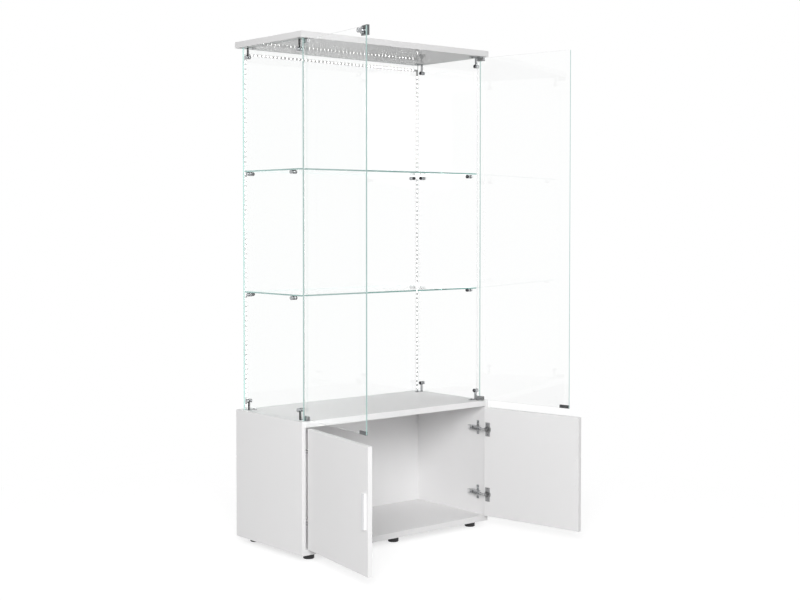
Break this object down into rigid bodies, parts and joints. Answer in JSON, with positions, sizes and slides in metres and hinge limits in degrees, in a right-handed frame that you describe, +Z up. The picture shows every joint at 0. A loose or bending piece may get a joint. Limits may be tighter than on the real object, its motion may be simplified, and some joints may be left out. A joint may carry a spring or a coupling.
{
  "type": "glass display cabinet",
  "caption": "Free-standing display cabinet: white base with hinged doors under a glass case with pivoting glass doors, glass shelves, cap board, lock and light strip.",
  "frame": {"origin": "on the floor, at the centre of the underside of the middle front foot, in the cabinet's mid-plane", "axes": "+X to the right end seen from the front, +Y from the front to the back, +Z up"},
  "size_m": [1.0288, 0.8502, 1.853],
  "materials": {
    "white_laminate": "semi-gloss white laminate on chipboard",
    "clear_glass": "clear float glass with green edges",
    "black_plastic": "matte black",
    "beech": "bare fluted wood",
    "zinc_steel": "zinc plated",
    "bright_chrome": "polished",
    "grey_metal": "satin dark grey",
    "brushed_aluminium": "satin anodised",
    "white_strip": "flexible light strip, unlit diodes"
  },
  "bodies": {
    "cabinet": {"back_glass": "clear_glass", "base_back": "white_laminate", "base_bottom": "white_laminate", "base_dowels": "beech", "base_left_side": "white_laminate", "base_right_side": "white_laminate", "base_top": "white_laminate", "bottom_brackets": "bright_chrome", "bracket_caps": "bright_chrome", "bracket_knobs": "bright_chrome", "bracket_screws": "zinc_steel", "cap": "white_laminate", "foot_back_left": "black_plastic", "foot_back_middle": "black_plastic", "foot_back_right": "black_plastic", "foot_front_left": "black_plastic", "foot_front_middle": "black_plastic", "foot_front_right": "black_plastic", "foot_screws": "zinc_steel", "hinge_plate_screws": "zinc_steel", "hinge_plates": "zinc_steel", "led_strip": "white_strip", "left_hinge_arms": "zinc_steel", "left_side_glass": "clear_glass", "lower_shelf": "clear_glass", "lower_shelf_pegs": "bright_chrome", "pivot_bushes": "black_plastic", "right_hinge_arms": "zinc_steel", "right_side_glass": "clear_glass", "shelf_peg_caps": "bright_chrome", "top_brackets": "bright_chrome", "upper_shelf": "clear_glass", "upper_shelf_pegs": "bright_chrome"},
    "left_base_door": {"left_base_door": "white_laminate", "left_hinge_cups": "zinc_steel", "left_cup_screws": "zinc_steel", "left_handle": "brushed_aluminium", "left_handle_screws": "zinc_steel"},
    "left_arm_link": {"left_arm_links": "zinc_steel"},
    "left_cup_link": {"left_cup_links": "zinc_steel"},
    "right_base_door": {"right_base_door": "white_laminate", "right_hinge_cups": "zinc_steel", "right_cup_screws": "zinc_steel", "right_handle": "brushed_aluminium", "right_handle_screws": "zinc_steel"},
    "right_arm_link": {"right_arm_links": "zinc_steel"},
    "right_cup_link": {"right_cup_links": "zinc_steel"},
    "left_glass_door": {"left_glass_door": "clear_glass", "left_door_clamps": "bright_chrome", "left_door_pivots": "zinc_steel", "left_edge_clip": "grey_metal", "lock_case": "grey_metal", "lock_rosette": "bright_chrome"},
    "right_glass_door": {"right_glass_door": "clear_glass", "right_door_clamps": "bright_chrome", "right_door_pivots": "zinc_steel", "right_edge_clip": "grey_metal"},
    "lock_barrel": {"lock_barrel": "bright_chrome"},
    "lock_bolt": {"lock_bolt": "zinc_steel"}
  },
  "joints": [
    {"name": "left_base_door_hinge", "type": "hinge", "parent": "cabinet", "child": "left_base_door", "pos_m": [-0.4375, -0.0456, 0.258], "axis": [0, 0, 1], "range_deg": [0, 100]},
    {"name": "left_arm_link_pivot", "type": "hinge", "parent": "cabinet", "child": "left_arm_link", "pos_m": [-0.419, -0.017, 0.258], "axis": [0, 0, 1], "range_deg": [0, 158]},
    {"name": "left_cup_link_pivot", "type": "hinge", "parent": "left_base_door", "child": "left_cup_link", "pos_m": [-0.41255, -0.06878, 0.258], "axis": [0, 0, 1], "range_deg": [-92.3, 0]},
    {"name": "right_base_door_hinge", "type": "hinge", "parent": "cabinet", "child": "right_base_door", "pos_m": [0.4375, -0.0456, 0.258], "axis": [0, 0, -1], "range_deg": [0, 100]},
    {"name": "right_arm_link_pivot", "type": "hinge", "parent": "cabinet", "child": "right_arm_link", "pos_m": [0.419, -0.017, 0.258], "axis": [0, 0, -1], "range_deg": [0, 158]},
    {"name": "right_cup_link_pivot", "type": "hinge", "parent": "right_base_door", "child": "right_cup_link", "pos_m": [0.41255, -0.06878, 0.258], "axis": [0, 0, -1], "range_deg": [-92.3, 0]},
    {"name": "left_glass_door_hinge", "type": "hinge", "parent": "cabinet", "child": "left_glass_door", "pos_m": [-0.418, -0.0175, 1.1625], "axis": [0, 0, 1], "range_deg": [-10, 98]},
    {"name": "right_glass_door_hinge", "type": "hinge", "parent": "cabinet", "child": "right_glass_door", "pos_m": [0.418, -0.0175, 1.1625], "axis": [0, 0, -1], "range_deg": [-7.5, 100.5]},
    {"name": "lock_barrel_turn", "type": "hinge", "parent": "left_glass_door", "child": "lock_barrel", "pos_m": [-0.47353, -0.41262, 1.811], "axis": [0.9903, -0.1392, 0], "range_deg": [0, 90]},
    {"name": "lock_bolt_slide", "type": "slide", "parent": "left_glass_door", "child": "lock_bolt", "axis": [0, 0, 1], "range_m": [0, 0.008]}
  ],
  "couplings": [
    {"joint": "left_arm_link_pivot", "follows": "left_base_door_hinge", "ratio": 1.58},
    {"joint": "left_cup_link_pivot", "follows": "left_base_door_hinge", "ratio": -0.92203},
    {"joint": "right_arm_link_pivot", "follows": "right_base_door_hinge", "ratio": 1.58},
    {"joint": "right_cup_link_pivot", "follows": "right_base_door_hinge", "ratio": -0.92203},
    {"joint": "lock_bolt_slide", "follows": "lock_barrel_turn", "m_per_rad": 0.005092}
  ]
}
